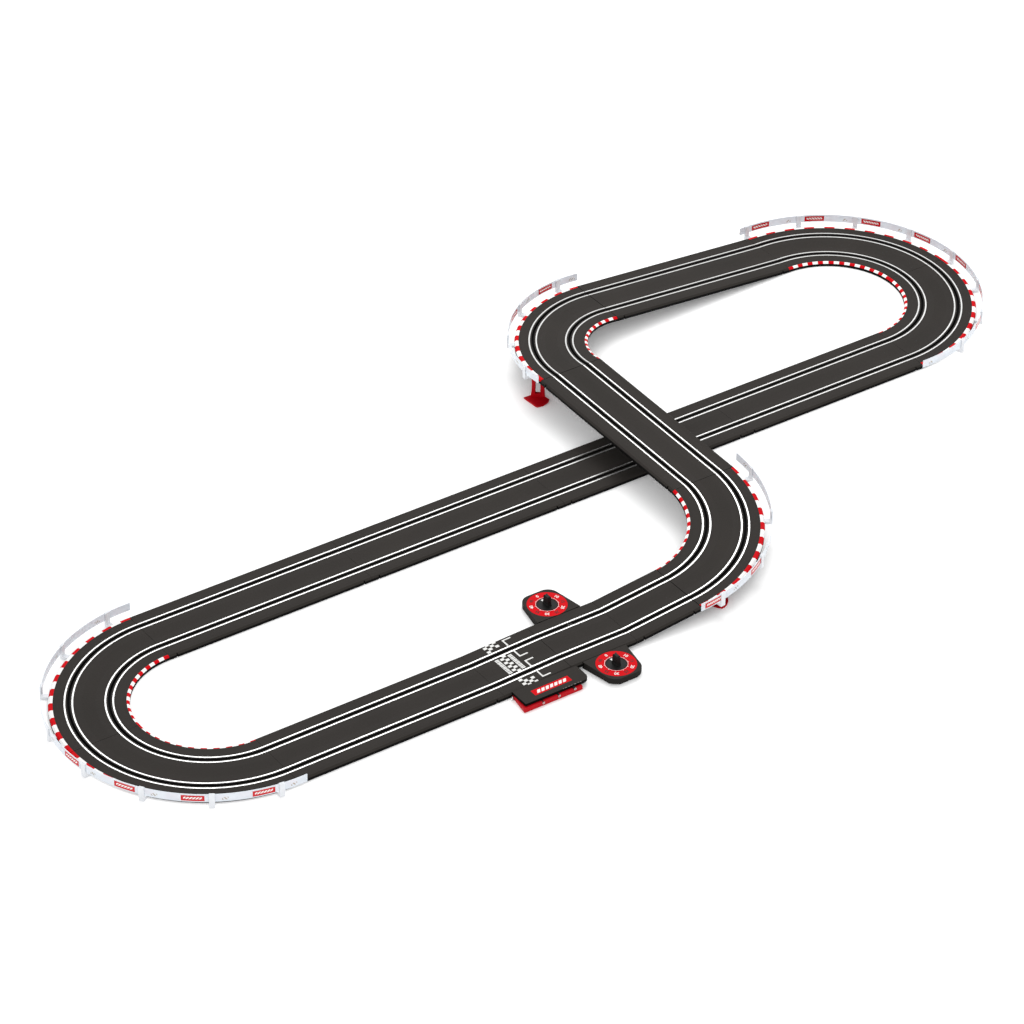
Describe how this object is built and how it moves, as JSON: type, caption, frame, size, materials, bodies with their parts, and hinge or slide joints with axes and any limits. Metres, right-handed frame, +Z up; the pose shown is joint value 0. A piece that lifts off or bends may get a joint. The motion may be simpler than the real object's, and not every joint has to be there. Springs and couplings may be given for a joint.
{
  "type": "slot car track set",
  "caption": "Two-lane slot car circuit in a folded figure of eight: grooved deck sections, a ramp and bridge, guard rails, a power section and a lap counter with dials.",
  "frame": {"origin": "on the floor, under the middle of the whole layout", "axes": "+X along the long straights, +Y towards the ramp side, +Z up"},
  "size_m": [1.8463, 0.8739, 0.0761],
  "materials": {
    "track_plastic": "fine grained dark grey moulding",
    "conductor_metal": "bright rolled strip",
    "clear_white_plastic": "milky sheet",
    "white_plastic": "moulded white",
    "red_plastic": "moulded red, satin",
    "black_plastic": "moulded black",
    "screw_steel": "zinc",
    "board_laminate": "green laminate"
  },
  "bodies": {
    "track": {"bridge_straight": "track_plastic", "climbing_curve": "track_plastic", "contact_board": "board_laminate", "controller_jacks": "black_plastic", "counter_base_covers": "track_plastic", "counter_dials": "red_plastic", "counter_screws": "screw_steel", "falling_curve": "track_plastic", "guard_rail_climbing_curve": "clear_white_plastic", "guard_rail_falling_curve": "clear_white_plastic", "guard_rail_left_loop": "clear_white_plastic", "guard_rail_right_loop": "clear_white_plastic", "home_straight": "track_plastic", "housing_screws": "screw_steel", "lap_counter_deck": "track_plastic", "left_curve_far": "track_plastic", "left_curve_near": "track_plastic", "lever_pins": "screw_steel", "long_straight_1": "track_plastic", "long_straight_2": "track_plastic", "long_straight_3": "track_plastic", "long_straight_4": "track_plastic", "pier_bridge_end": "red_plastic", "pier_bridge_start": "red_plastic", "pier_ramp_foot": "red_plastic", "pier_ramp_top": "red_plastic", "power_cover": "track_plastic", "power_housing": "red_plastic", "power_section_deck": "track_plastic", "rail_clips_climbing_curve": "white_plastic", "rail_clips_falling_curve": "white_plastic", "rail_clips_left_loop": "white_plastic", "rail_clips_right_loop": "white_plastic", "rails_bridge_straight": "conductor_metal", "rails_climbing_curve": "conductor_metal", "rails_falling_curve": "conductor_metal", "rails_home_straight": "conductor_metal", "rails_lap_counter": "conductor_metal", "rails_left_loop": "conductor_metal", "rails_long_straights": "conductor_metal", "rails_power_section": "conductor_metal", "rails_ramp_straight": "conductor_metal", "rails_right_loop": "conductor_metal", "rails_short_straight": "conductor_metal", "ramp_straight": "track_plastic", "right_curve_far": "track_plastic", "right_curve_near": "track_plastic", "short_straight": "track_plastic", "supply_jack": "black_plastic"},
    "front_counter_knob": {"counter_knob_front": "black_plastic", "ratchet_wheel_front": "white_plastic"},
    "back_counter_knob": {"counter_knob_back": "black_plastic", "ratchet_wheel_back": "white_plastic"},
    "front_trip_lever": {"trip_lever_front": "white_plastic"},
    "back_trip_lever": {"trip_lever_back": "white_plastic"}
  },
  "joints": [
    {"name": "front_counter_turn", "type": "hinge", "parent": "track", "child": "front_counter_knob", "pos_m": [-0.171, -0.4008, 0.011], "axis": [0, 0, 1], "continuous": true},
    {"name": "front_lever_trip", "type": "hinge", "parent": "track", "child": "front_trip_lever", "pos_m": [-0.191, -0.3522, 0.0059], "axis": [0, 0, 1], "range_deg": [-9, 0], "stiffness_Nm_per_rad": 0.01},
    {"name": "back_counter_turn", "type": "hinge", "parent": "track", "child": "back_counter_knob", "pos_m": [-0.171, -0.2296, 0.011], "axis": [0, 0, 1], "continuous": true},
    {"name": "back_lever_trip", "type": "hinge", "parent": "track", "child": "back_trip_lever", "pos_m": [-0.191, -0.2782, 0.0059], "axis": [0, 0, 1], "range_deg": [0, 9], "stiffness_Nm_per_rad": 0.01}
  ]
}
